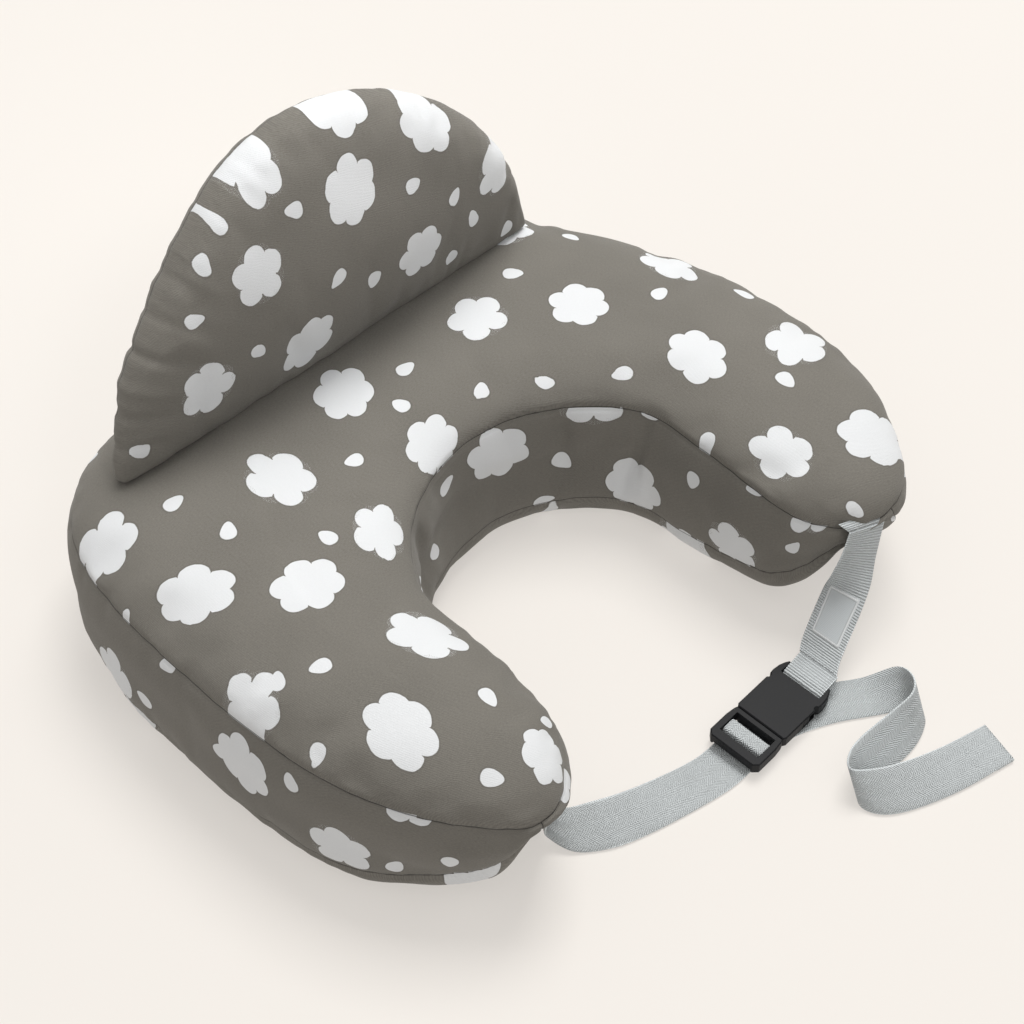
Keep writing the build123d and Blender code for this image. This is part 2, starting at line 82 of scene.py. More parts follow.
class Graph:
    """The node tree of a material or of the world."""

    def __init__(self, holder):
        holder.use_nodes = True
        self.holder = holder
        self.nodes, self.links = holder.node_tree.nodes, holder.node_tree.links
        self.shader = next((n for n in self.nodes if n.type == "BSDF_PRINCIPLED"), None)

    def put(self, socket, value):
        """Links a Value, sets a number, or sets a colour given as three numbers."""
        if isinstance(value, Value):
            self.links.new(value.socket, socket)
        else:
            socket.default_value = (*value, 1.0) if isinstance(value, tuple) else value

    def fill(self, node, sockets, output=0):
        for key, value in sockets.items():
            self.put(node.inputs[key], value)
        return Value(self, node.outputs[output])

    def math(self, kind, *values):
        node = self.nodes.new("ShaderNodeMath")
        node.operation = kind
        return self.fill(node, dict(enumerate(values)))

    def wave(self, value, pitch, shift=None):
        """A sine that repeats every pitch, pushed along by shift."""
        phase = value * (2 * math.pi / pitch)
        return self.math("SINE", phase + shift if isinstance(shift, Value) else phase)

    def attribute(self, name, output="Vector"):
        node = self.nodes.new("ShaderNodeAttribute")
        node.attribute_name = name
        return self.fill(node, {}, output)

    def place(self):
        return self.fill(self.nodes.new("ShaderNodeTexCoord"), {}, "Object")

    def split(self, vector):
        node = self.nodes.new("ShaderNodeSeparateXYZ")
        self.put(node.inputs[0], vector)
        return [Value(self, socket) for socket in node.outputs]

    def join(self, x, y, z=0.0):
        return self.fill(self.nodes.new("ShaderNodeCombineXYZ"), {0: x, 1: y, 2: z})

    def noise(self, vector, scale, detail=2.0, rough=0.5):
        return self.fill(self.nodes.new("ShaderNodeTexNoise"),
                         {"Vector": vector, "Scale": scale, "Detail": detail, "Roughness": rough},
                         "Fac")

    def step(self, value, low, high):
        """0 below low, 1 above high, smooth between; high may be the lower one."""
        node = self.nodes.new("ShaderNodeMapRange")
        node.interpolation_type = "SMOOTHSTEP"
        first, last = (0.0, 1.0) if low <= high else (1.0, 0.0)
        return self.fill(node, {"Value": value, "From Min": min(low, high),
                                "From Max": max(low, high), "To Min": first, "To Max": last},
                         "Result")

    def mix(self, share, a, b, kind="MIX"):
        node = self.nodes.new("ShaderNodeMix")
        node.data_type = "RGBA"
        node.blend_type = kind
        return self.fill(node, {0: share, 6: a, 7: b}, 2)

    def lit(self, tint, light):
        """A colour times a light level."""
        return self.mix(1.0, tint, self.join(light, light, light), "MULTIPLY")

    def bump(self, height, strength, distance):
        self.set("Normal", self.fill(self.nodes.new("ShaderNodeBump"),
                                     {"Strength": strength, "Distance": distance,
                                      "Height": height}))

    def set(self, name, value):
        self.put(self.shader.inputs[name], value)


def new_material(name):
    return Graph(bpy.data.materials.new(name))


# ---- materials: lengths are in mm where they read cloth_uv or web ----
CLOTH = (0.172, 0.163, 0.145)
PRINT = (0.70, 0.718, 0.738)
PRINT_EDGE_SHADE = (0.07, 0.066, 0.06)       # painted shade in a faint band just outside each print's edge
SEAM_SHADE = (0.035, 0.033, 0.03)
WEB_COLOUR = (0.56, 0.595, 0.61)
SELVEDGE = (17.4, 18.5)                # where the webbing's paler edge starts and is full
# a cloud's lobes: how far out their centres stand, their radius, and the core's radius
LOBE_OUT, LOBE_RADIUS, CORE_RADIUS = 14.3, 10.2, 16.4
DROP_LONG, DROP_HALF = 8.6, 6.1        # a drop's half length and half width


def turned(t, dx, dy, turn):
    ca, sa = t.math("COSINE", turn), t.math("SINE", turn)
    return dx * ca + dy * sa, dy * ca - dx * sa


def cloud_distance(t, placed):
    """Signed distance in mm to the nearest cloud: round lobes about a round core."""
    dx, dy, seed = t.split(placed)
    x, y = turned(t, dx, dy, seed * 2.4)
    x = x * (0.86 + t.math("SINE", seed * 5.3) * 0.10)
    r = t.math("SQRT", x * x + y * y)
    # five or six lobes; fold is the angle from the middle of the lobe at hand
    per = 2 * math.pi / (5.0 + t.math("MODULO", seed, 2.0))
    turns = t.math("ARCTAN2", y, x) / per + 20.0
    fold = (t.math("FRACT", turns) - 0.5) * per
    centre = (t.math("FLOOR", turns) + 0.5) * per
    wave = t.math("SINE", centre + seed * 1.7)
    wave2 = t.math("SINE", centre * 2.0 + seed)
    out = LOBE_OUT + (wave * 1.3 + wave2 * 1.2)
    lobe = LOBE_RADIUS - wave2 * 1.0
    along = r * t.math("COSINE", fold) - out
    aside = r * t.math("SINE", fold)
    reach = t.math("SQRT", along * along + aside * aside)
    return t.math("MINIMUM", reach - lobe, r - CORE_RADIUS)


def drop_distance(t, placed):
    """Signed distance in mm to the nearest egg-shaped drop."""
    dx, dy, turn = t.split(placed)
    x, y = turned(t, dx, dy, turn)
    half = DROP_HALF - x * 0.22
    a = t.math("POWER", x / DROP_LONG, 2.0)
    b = t.math("POWER", y / half, 2.0)
    return (t.math("SQRT", a + b) - 1.0) * 6.5


def printed_cloth():
    t = new_material("printed_cloth")
    uv = t.attribute("cloth_uv")
    u, v, _ = t.split(uv)
    shape = t.math("MINIMUM", cloud_distance(t, t.attribute("cloud")),
                   drop_distance(t, t.attribute("drop")))
    shape = shape + (t.noise(uv, 0.09) - 0.5) * 1.6
    printed = t.step(shape, 0.25, -0.25)
    # edge: a thin band just outside each print, darkened below as painted shade
    edge = t.step(shape, 0.0, 0.3) * t.step(shape, 1.5, 0.7)
    # twill: fine diagonal ribs, crossed by a slower unevenness of the yarns
    rib = t.wave(u + v * 1.7, 2.3, t.noise(uv, 0.5, 1.0) * 2.2)
    cross = t.wave(u - v, 1.3)
    yarn = t.noise(t.join(u * 0.55, v * 1.6), 0.75, 3.0, 0.7)
    fuzz = t.noise(uv, 1.3, 3.0, 0.75)
    slow = t.noise(uv, 0.012)
    tone = (yarn - 0.5) * 0.9 + (slow - 0.5) * 0.35
    tone = tone + rib * 0.12 + (fuzz - 0.5) * 0.55
    plain = t.mix(edge * 0.25, t.lit(CLOTH, 1.0 + tone * 0.75), PRINT_EDGE_SHADE)
    cloth = t.mix(printed, plain, t.lit(PRINT, 1.0 + tone * 0.10))
    # sewn seams: a thin dark line between two slightly raised lips
    near = t.math("MINIMUM", t.math("ABSOLUTE", t.attribute("seam", "Fac")),
                  t.math("ABSOLUTE", t.attribute("tip_seam", "Fac")))
    line = t.step(near, 0.9, 0.25)
    lips = t.step(near, 0.4, 1.4) * t.step(near, 4.5, 1.6)
    t.set("Base Color", t.mix(line * 0.80, cloth, SEAM_SHADE))
    height = rib * 0.16 + cross * 0.08 + yarn * 0.8 + lips * 1.6 - line * 2.0
    t.bump(height, 0.55, 0.00045)
    t.set("Roughness", 0.92 - printed * 0.14)
    t.set("Sheen Weight", 0.12)
    t.set("Sheen Roughness", 0.45)
    t.set("Specular IOR Level", 0.25)
    return t.holder


def webbing(name, ribbed):
    """Woven polyester: square ribs across it, or a fine herringbone."""
    t = new_material(name)
    u, v, _ = t.split(t.attribute("web"))
    plane = t.join(u, v)
    if ribbed:
        wave = t.wave(u, 2.2, t.noise(plane, 0.25, 1.0) * 1.6)
        fine = t.wave(v, 1.15)
    else:
        wave = t.wave(u + t.math("PINGPONG", v, 6.4), 2.1, t.noise(plane, 0.3, 1.0) * 1.5)
        fine = t.wave(v, 1.05)
    yarn = t.noise(plane, 1.1, 2.0, 0.6)
    slow = t.noise(plane, 0.03)
    edge = t.step(t.math("ABSOLUTE", v), *SELVEDGE)
    # tone: the ribs' waves and random yarn unevenness; the deepest part of each trough between the
    # ribs is darkened further as painted shade
    tone = wave * 0.11 + fine * 0.05 - t.step(wave, -0.2, -0.95) * (0.16 if ribbed else 0.08)
    tone = tone + (yarn - 0.5) * 0.22 + (slow - 0.5) * 0.10
    t.set("Base Color", t.lit(WEB_COLOUR, 1.0 + tone + edge * 0.34))
    t.bump(wave * 0.7 + fine * 0.3 + yarn * 0.5 + edge * 0.8, 0.8, 0.0006)
    t.set("Roughness", 0.72 + yarn * 0.2)
    t.set("Specular IOR Level", 0.3)
    return t.holder


def satin_label():
    """A satin patch; web's third number is how far up the raised border a point is."""
    t = new_material("label_cloth")
    u, v, rim = t.split(t.attribute("web"))
    yarn = t.noise(t.join(u, v), 1.6, 2.0, 0.6)
    weft = t.wave(u, 1.2)
    stitch = t.wave(u + v, 1.9)
    tint = t.mix(rim, (0.52, 0.555, 0.575), (0.74, 0.76, 0.775))
    groove = t.step(rim, 0.02, 0.22) * t.step(rim, 0.62, 0.35)
    tint = t.mix(groove * 0.45, tint, (0.25, 0.26, 0.265))
    t.set("Base Color", t.lit(tint, 0.97 + (yarn - 0.5) * 0.12 + rim * (stitch * 0.08)))
    t.bump(yarn * 0.5 + weft * 0.15 + rim * (stitch * 0.6), 0.4, 0.0004)
    t.set("Roughness", 0.5 + yarn * 0.12)
    return t.holder


def moulded_plastic():
    t = new_material("buckle_plastic")
    place = t.place()
    grain = t.noise(place, 900.0, 3.0, 0.6)
    t.set("Base Color", t.lit((0.0115, 0.012, 0.0135), 0.9 + t.noise(place, 40.0) * 0.25))
    t.bump(grain, 0.25, 0.00012)
    t.set("Roughness", 0.46 + grain * 0.14)
    t.set("Specular IOR Level", 0.17)
    return t.holder


def woven_tape(name, tint):
    t = new_material(name)
    place = t.place()
    rows = t.wave(t.split(place)[2], 0.0011)
    yarn = t.noise(place, 700.0, 2.0, 0.6)
    t.set("Base Color", t.lit(tint, 0.9 + (rows * 0.07 + yarn * 0.2)))
    t.bump(rows + yarn, 0.4, 0.0002)
    t.set("Roughness", 0.8 + yarn * 0.1)
    return t.holder


def plain_finish(name, tint, low, metallic=0.0, scale=600.0):
    t = new_material(name)
    grain = t.noise(t.place(), scale, 3.0, 0.6)
    t.set("Base Color", t.lit(tint, 0.88 + grain * 0.24))
    t.bump(grain, 0.2, 0.0001)
    t.set("Roughness", low + grain * 0.15)
    t.set("Metallic", metallic)
    return t.holder


cloth_material = printed_cloth()
rib_web = webbing("webbing_ribbed", True)
twill_web = webbing("webbing_twill", False)
label_material = satin_label()
plastic = moulded_plastic()
tape_material = woven_tape("zip_tape", (0.115, 0.108, 0.096))
coil_material = plain_finish("zip_coil", (0.085, 0.080, 0.072), 0.38)
metal_material = plain_finish("zip_metal", (0.09, 0.085, 0.078), 0.32, 0.6, 900.0)
thread_material = plain_finish("thread", (0.62, 0.65, 0.66), 0.6, 0.0, 1500.0)


# ---- camera, floor and light ----
AZIMUTH = math.radians(-46.45)
ELEVATION = math.radians(50.44)
TARGET = Vector((0.0201, 0.0075, 0.060))
DISTANCE = 1.701
FLOOR_REACH, FLOOR_Z = 60000, -0.3


def put_in_scene(name, data):
    obj = bpy.data.objects.new(name, data)
    scene.collection.objects.link(obj)
    return obj


def facing(way):
    """The turn that points an object's back along way, and its front the other way."""
    return way.to_track_quat("Z", "Y").to_euler()


back_way = Vector((math.sin(AZIMUTH) * math.cos(ELEVATION),
                   -math.cos(AZIMUTH) * math.cos(ELEVATION), math.sin(ELEVATION)))
camera = put_in_scene("camera", bpy.data.cameras.new("camera"))
camera.location = TARGET + back_way * DISTANCE
camera.rotation_euler = facing(back_way)
camera.data.lens = 72.25
camera.data.sensor_width = 36.0
camera.data.clip_end = 200.0
scene.camera = camera
scene.view_settings.view_transform = "Standard"


def mesh_object(name, points, faces, material, smooth=True):
    """A mesh object from points in millimetres."""
    mesh = bpy.data.meshes.new(name)
    mesh.from_pydata([tuple(float(c) * MM for c in p) for p in points], [], faces)
    mesh.update()
    mesh.shade_smooth() if smooth else mesh.shade_flat()
    mesh.materials.append(material)
    return put_in_scene(name, mesh)


floor_look = new_material("floor")
floor_look.set("Base Color", (0.335, 0.320, 0.302))
floor_look.set("Emission Color", (1.0, 0.955, 0.905))
floor_look.set("Emission Strength", 0.508)
floor_look.set("Roughness", 0.9)
floor_look.set("Specular IOR Level", 0.1)
floor = mesh_object("floor", [(x * FLOOR_REACH, y * FLOOR_REACH, FLOOR_Z)
                              for x, y in ((-1, -1), (1, -1), (1, 1), (-1, 1))],
                    [(0, 1, 2, 3)], floor_look.holder)


def new_light(name, kind, place, aim, watts):
    lamp = bpy.data.lights.new(name, kind)
    lamp.energy = watts
    obj = put_in_scene(name, lamp)
    obj.location = place
    obj.rotation_euler = facing(Vector(place) - Vector(aim))
    return lamp


for name, place, size, watts in (("key", (2.2, 1.1, 5.6), 2.8, 292.0),
                                 ("fill", (-1.0, -2.8, 6.0), 3.4, 18.0)):
    lamp = new_light(name, "AREA", place, (0.0, 0.0, 0.05), watts)
    lamp.shape = "SQUARE"
    lamp.size = size
    lamp.color = (1.0, 0.99, 0.97)
# a narrow, weak light on the guard's face
glow = new_light("guard_glow", "SPOT", (-0.15, -0.95, 1.75), (0.03, 0.2, 0.34), 42.0)
glow.shadow_soft_size = 0.25
glow.spot_size, glow.spot_blend = math.radians(20), 1.0

# the sky: bright overhead, dim half way up, and pale again where the floor ends
scene.world = bpy.data.worlds.new("world")
sky = Graph(scene.world)
way = sky.fill(sky.nodes.new("ShaderNodeTexCoord"), {}, "Generated")
up = sky.math("MAXIMUM", sky.split(way)[2], 0.0)
background = sky.nodes["Background"].inputs
sky.put(background[0], (1.0, 0.98, 0.955))
sky.put(background[1], sky.math("MAXIMUM", up * 0.84, sky.math("MULTIPLY_ADD", up, -1.9, 0.68)))


# ---- the cushion's outline ----
BACK_Y, BACK_RADIUS = 291.0, 650.0
BACK_CENTRE = BACK_Y - BACK_RADIUS
HEIGHT, TIP_SEAM_X = 152.0, 203.0
ZIP_Z, ZIP_HALF = 76.0, math.radians(11.5)


def rotated(v, a):
    return (v[0] * math.cos(a) - v[1] * math.sin(a), v[0] * math.sin(a) + v[1] * math.cos(a))


def tangent_arcs(start, way, arcs):
    """Points along arcs of (radius, degrees), each tangent to the last, turning right."""
    points, p, d = [start], np.array(start, float), np.array(way, float)
    for radius, degrees in arcs:
        centre = p + radius * np.array([d[1], -d[0]])
        count = max(8, int(radius * math.radians(degrees) / 4))
        for k in range(1, count + 1):
            points.append(tuple(centre + rotated(p - centre, -math.radians(degrees) * k / count)))
        p = np.array(points[-1])
        d = np.array(rotated(d, -math.radians(degrees)))
    return points, d


def make_outline():
    outer, way = tangent_arcs((0, BACK_Y), (1, 0), [(650, 17.92), (132, 59.2), (714, 19.3),
                                                    (241, 41.2)])
    inner, wall = tangent_arcs((0, 24), (1, 0), [(130, 51.8), (70.4, 39.2)])
    corner = np.array(inner[-1])
    inner += [tuple(corner + wall * 104 * k / 26) for k in range(1, 27)]
    p, q = np.array(outer[-1]), np.array(inner[-1])
    normal = np.array([way[1], -way[0]])
    chord = q - p
    radius = chord @ chord / (2 * (chord @ normal))
    centre = p + normal * radius
    a0 = math.atan2(p[1] - centre[1], p[0] - centre[0])
    a1 = math.atan2(q[1] - centre[1], q[0] - centre[0])
    a1 = a1 - 2 * math.pi if a1 > a0 else a1
    tip = [tuple(centre + radius * np.array([math.cos(a0 + (a1 - a0) * k / 60),
                                             math.sin(a0 + (a1 - a0) * k / 60)]))
           for k in range(1, 60)]
    half = np.array(outer + tip + inner[::-1])
    return np.vstack([half, (half[::-1] * (-1, 1))[1:]])


outline = make_outline()
spans = np.diff(outline, axis=0)
lengths = np.hypot(spans[:, 0], spans[:, 1])
outline_s = np.concatenate([[0.0], np.cumsum(lengths)])
ROUND = outline_s[-1]
span_normals = np.stack([-spans[:, 1], spans[:, 0]], 1) / lengths[:, None]


def on_outline(xy):
    """Arc length, inward distance and outward normal of each point, from the outline."""
    s, w, n = np.zeros(len(xy)), np.zeros(len(xy)), np.zeros((len(xy), 2))
    for first in range(0, len(xy), 4000):
        part = xy[first:first + 4000]
        gap = ((part[:, None, :] - outline[None, :-1, :]) ** 2).sum(2)
        best = gap.argmin(1)
        low = np.full(len(part), 1e9)
        for near in (-1, 0):
            i = (best + near) % len(spans)
            v = part - outline[i]
            t = np.clip((v * spans[i]).sum(1) / lengths[i] ** 2, 0, 1)
            away = v - spans[i] * t[:, None]
            d = np.hypot(away[:, 0], away[:, 1])
            better = d < low
            low = np.where(better, d, low)
            side = -np.sign((away * span_normals[i]).sum(1))
            normal = np.where(d[:, None] > 0.5, -away * side[:, None] / np.maximum(d, 1e-6)[:, None],
                              span_normals[i])
            rows = np.arange(first, first + len(part))[better]
            s[rows] = (outline_s[i] + t * lengths[i])[better]
            w[rows] = (side * d)[better]
            n[rows] = normal[better]
    return s, w, n


def tip_share(y):
    return np.clip((-95.0 - y) / 155.0, 0, None) ** 1.75


def top_seam_z(y):
    return 124.0 - 19.0 * tip_share(y)


def low_seam_z(y):
    return 28.0 + 42.0 * tip_share(y)


# ---- soft pieces: remesh, inflate, subdivide ----
def shown_mesh(obj):
    graph = bpy.context.evaluated_depsgraph_get()
    return bpy.data.meshes.new_from_object(obj.evaluated_get(graph),
                                           preserve_all_data_layers=True, depsgraph=graph)


def apply_modifiers(obj):
    obj.data = shown_mesh(obj)
    obj.modifiers.clear()


def remeshed(name, node, voxel):
    """A new object with an even skin, voxel mm apart, over a CAD solid."""
    source = nodes[node]
    mesh = source.data.copy()
    mesh.transform(source.matrix_world)
    mesh.materials.clear()
    obj = put_in_scene(name, mesh)
    modifier = obj.modifiers.new("even", "REMESH")
    modifier.mode = "VOXEL"
    modifier.voxel_size = voxel * MM
    apply_modifiers(obj)
    obj.data.name = name
    return obj


def read_vectors(items, key):
    values = np.zeros(len(items) * 3, np.float32)
    items.foreach_get(key, values)
    return values.reshape(-1, 3).astype(float)


def read_whole(items, key, width=1):
    values = np.zeros(len(items) * width, np.int32)
    items.foreach_get(key, values)
    return values


def points_of(mesh):
    return read_vectors(mesh.vertices, "co") / MM


def set_points(mesh, values):
    mesh.vertices.foreach_set("co", (values * MM).astype(np.float32).ravel())
    mesh.update()


def write_attribute(mesh, name, values, domain="CORNER"):
    """A new attribute of vectors, or of numbers where values is one row."""
    kind, key = ("FLOAT_VECTOR", "vector") if values.ndim > 1 else ("FLOAT", "value")
    layer = mesh.attributes.new(name, kind, domain)
    layer.data.foreach_set(key, values.astype(np.float32).ravel())


class Corners:
    """Which vertex and which face each corner of a mesh belongs to."""

    def __init__(self, mesh):
        self.vertex = read_whole(mesh.loops, "vertex_index")
        self.totals = read_whole(mesh.polygons, "loop_total")
        self.face = np.repeat(np.arange(len(self.totals)), self.totals)

    def mean(self, values):
        """The mean over each face of a value given at its corners."""
        return np.bincount(self.face, values) / self.totals


def neighbour_smooth(mesh, values, rounds):
    """Each point moved half way to the middle of its neighbours, a few times."""
    a, b = read_whole(mesh.edges, "vertices", 2).reshape(-1, 2).T
    count = np.bincount(np.concatenate([a, b]), minlength=len(values))[:, None]
    for _ in range(rounds):
        total = np.zeros_like(values)
        for k in range(values.shape[1]):
            total[:, k] = (np.bincount(a, values[b, k], len(values))
                           + np.bincount(b, values[a, k], len(values)))
        values = 0.5 * values + 0.5 * total / count
    return values


SIM_FRAMES = 18
SIM_SLACK = 0.02          # how much longer the cloth's edges may be than they start


def inflate(obj, pinned, cap):
    """Cloth simulation under pressure, with the pinned share held and movement capped."""
    start = points_of(obj.data)
    group = obj.vertex_groups.new(name="pin")
    levels = np.round(pinned, 1)
    for level in np.unique(levels):
        if level > 0:
            group.add(np.where(levels == level)[0].tolist(), float(level), "REPLACE")
    cloth = obj.modifiers.new("cloth", "CLOTH")
    settings = cloth.settings
    settings.quality = 5
    settings.mass = 0.3
    settings.tension_stiffness = 18
    settings.compression_stiffness = 18
    settings.shear_stiffness = 6
    settings.bending_stiffness = 1.2
    settings.vertex_group_mass = "pin"
    settings.pin_stiffness = 3.0
    settings.use_pressure = True
    settings.uniform_pressure_force = 4.0
    settings.shrink_min = -SIM_SLACK
    settings.effector_weights.gravity = 0.0
    cloth.collision_settings.use_collision = False
    cloth.point_cache.frame_start = 1
    cloth.point_cache.frame_end = SIM_FRAMES
    for number in range(1, SIM_FRAMES + 1):
        scene.frame_set(number)
    moved = shown_mesh(obj)
    ended = points_of(moved)
    bpy.data.meshes.remove(moved)
    obj.modifiers.clear()
    obj.vertex_groups.clear()
    scene.frame_set(1)
    step = ended - start
    step[~np.isfinite(step).all(1)] = 0
    length = np.linalg.norm(step, axis=1)
    share = cap * np.tanh(length / cap) / np.maximum(length, 1e-9)
    set_points(obj.data, start + step * share[:, None])


def puffed_up(obj, slack_shape, pinned, cap):
    """Inflates obj from its slack shape, then evens the skin and makes it finer.

    Returns the mesh, its points in the plain solid, its points now, and their normals."""
    set_points(obj.data, slack_shape)
    inflate(obj, pinned, cap)
    set_points(obj.data, neighbour_smooth(obj.data, points_of(obj.data), 2))
    modifier = obj.modifiers.new("finer", "SUBSURF")
    modifier.levels = modifier.render_levels = 1
    apply_modifiers(obj)
    mesh = obj.data
    return (mesh, read_vectors(mesh.attributes["rest"].data, "vector"), points_of(mesh),
            read_vectors(mesh.vertex_normals, "vector"))


def smooth_step(t):
    t = np.clip(t, 0, 1)
    return t * t * (3 - 2 * t)


def bell(distance, width):
    return np.exp(-(distance / width) ** 2)


# ---- the print: listed clouds and drops, and a scatter elsewhere ----
def scatter(placed, low, high, pitch, apart, others=(), others_apart=0.0):
    """placed, and a jittered grid of more points where there is room for them."""
    found = [tuple(p) for p in placed]
    across = np.arange(low[0], high[0] + pitch, pitch)
    down = np.arange(low[1], high[1] + pitch * 0.87, pitch * 0.87)
    for row, v in enumerate(down):
        for u in across:
            spot = (u + (row % 2) * pitch / 2 + rng.uniform(-0.13, 0.13) * pitch,
                    v + rng.uniform(-0.13, 0.13) * pitch)
            clear = all(math.dist(spot, p[:2]) > apart for p in found)
            if clear and all(math.dist(spot, p[:2]) > others_apart for p in others):
                found.append(spot)
    return np.array([p[:2] for p in found])


TOP_CLOUDS = [(-265, 160), (-255, 70), (-137, 105), (-43, 133), (92, 116), (162, 65), (260, 50),
              (184, -43), (254, -90), (224, -188), (155, -155), (-22, 42), (-112, 13), (-193, 12),
              (-160, -78), (-233, -124), (-292, -26), (-165, -211)]
TOP_DROPS = [(-210, 145), (-200, 94), (-152, 35), (-237, -47), (-287, -90), (-168, -149),
             (-212, -193), (10, 117), (40, 54), (80, 25), (128, -12), (122, -100), (213, -112),
             (168, -230), (219, 26), (30, 190), (-20, 90), (-85, 75), (-75, -10), (225, 130),
             (150, 130), (-300, 110), (-265, -30), (275, -20), (-135, -190)]
OUTER_CLOUDS = [(1976, 48), (1821, 86), (1732, 58), (1679, 134), (240, 80), (420, 70), (2140, 84)]
OUTER_DROPS = [(1845, 83), (1726, 133), (1635, 126), (1649, 74), (1910, 120), (1935, 60),
               (1775, 105), (1690, 52)]
INNER_CLOUDS = [(1149, 95), (1076, 132), (1039, 49), (937, 52), (1300, 80), (1420, 60)]
INNER_DROPS = [(1199, 101), (1097, 66), (984, 93), (929, 122), (858, 121), (1036, 128), (881, 83),
               (1113, 32), (1230, 60)]
GUARD_CLOUDS = [(40, 219), (112, 172), (-52, 217), (18, 158), (-84, 144), (76, 68), (-148, 60),
                (-46, 46), (184, 92)]
GUARD_DROPS = [(78, 134), (122, 98), (142, 62), (-35, 171), (-14, 96), (23, 69), (-99, 73),
               (-150, 132), (-125, 172), (-98, 194), (-207, 30), (190, 19), (115, 31)]


def print_lists(clouds, drops, low, high):
    many = scatter(clouds, low, high, 112, 104)
    few = scatter(drops, low, high, 70, 60, many, 50)
    return many, few


FAR_AWAY, NO_SEAM = 500.0, 99.0     # stand for no print and no seam nearby, in mm


def nearest(spots, uv):
    gap = ((uv[:, None, :] - spots[None, :, :]) ** 2).sum(2)
    return gap.argmin(1)


def lay_cloth(mesh, corners, face_panel, corner_uv, lists, seam, tip_seam):
    """The cloth's material, and where each corner lies from the nearest print and seams."""
    middle = np.stack([corners.mean(corner_uv[:, k]) for k in (0, 1)], 1)
    cloud = np.full((len(corner_uv), 3), FAR_AWAY)
    drop = np.full((len(corner_uv), 3), FAR_AWAY)
    for panel, (clouds, drops) in enumerate(lists):
        chosen = np.where(face_panel == panel)[0]
        for spots, target, turn in ((clouds, cloud, 1.0), (drops, drop, 0.9)):
            for first in range(0, len(chosen), 5000):
                some = chosen[first:first + 5000]
                pick = np.zeros(len(middle), int)
                pick[some] = nearest(spots, middle[some])
                mask = np.isin(corners.face, some)
                which = pick[corners.face[mask]]
                target[mask, :2] = corner_uv[mask] - spots[which]
                target[mask, 2] = which * turn + panel
    write_attribute(mesh, "cloud", cloud)
    write_attribute(mesh, "drop", drop)
    write_attribute(mesh, "cloth_uv", np.column_stack([corner_uv, np.zeros(len(corner_uv))]))
    write_attribute(mesh, "seam", seam)
    write_attribute(mesh, "tip_seam", tip_seam)
    mesh.materials.append(cloth_material)
    mesh.shade_smooth()


# ---- cushion ----
SEAM_IN = 7.0             # how far the seams draw in from the fullest part of the walls
FILL_IN = 2.0             # how far the filling's solid lies inside the outline
SIDE_REACH = 88.0         # how far in from the outline the shape's shifts fade out
FOOT_REACH = 60.0         # the same, for the roll of the base and the foot of the wall
DOME_REACH = 104.0        # how far in from the outline the top becomes level
ARM_Y, ZIP_Y = -120.0, 240.0          # the tip seams lie in front of one, the zip behind the other
RIGHT_TIP, LEFT_TIP = 795.0, 1578.0   # where the bands narrow to nothing, along the outline
# each pair: how far along the outline, and how far the stuffed wall stands inside the solid
DRAWN_IN = [(0, 0), (190, 4), (250, 18), (300, 28), (350, 21), (400, 12), (450, 5), (500, 1),
            (560, -5), (620, -10), (680, -14), (740, -12), (775, -5), (795, 1), (815, 6), (832, 10),
            (850, 12), (870, 12), (900, 8), (940, 6), (1000, 6), (1060, 9), (1100, 11), (1140, 13),
            (1178, 12), (1240, 11), (1300, 7), (1340, 4), (1380, 3), (1400, 4), (1420, 7),
            (1440, 10), (1460, 14), (1480, 17), (1500, 18), (1520, 16), (1540, 11), (1560, 6),
            (1580, 1), (1600, 0), (1880, 0), (1960, -5), (2060, -8), (2140, -6), (2220, 0),
            (2357, 0)]
# the same, for how far the foot of the wall stands out past its upper part, how far the top
# is lower than the plain dome, and how far the waist side's upper seam stands higher
FOOT_OUT = [(0, 0), (800, 0), (860, 8), (940, 4), (1000, 10), (1060, 13), (1178, 14), (1300, 12),
            (1360, 4), (1480, 0), (1640, 0), (1720, 9), (1820, 12), (1960, 12), (2050, 5), (2120, 0),
            (2357, 0)]
CROWN_DROPPED = [(0, 0), (180, 0), (250, 10), (300, 16), (350, 12), (400, 7), (450, 3), (500, 0)]
SEAM_RAISED = [(800, 0), (850, 3), (900, 6), (1000, 7), (1178, 6), (1300, 4), (1400, 0)]


def tip_bell(s, at, before, after):
    return np.where(s < at, bell(s - at, before), bell(s - at, after))


def table(s, pairs):
    return np.interp(s, *zip(*pairs))


def on_cushion(rest):
    """Outline measures of the filling's points, and the heights of both seams there."""
    s, w, n = on_outline(rest[:, :2])
    y = rest[:, 1]
    return s, np.maximum(w - FILL_IN, 0), n, top_seam_z(y), low_seam_z(y)


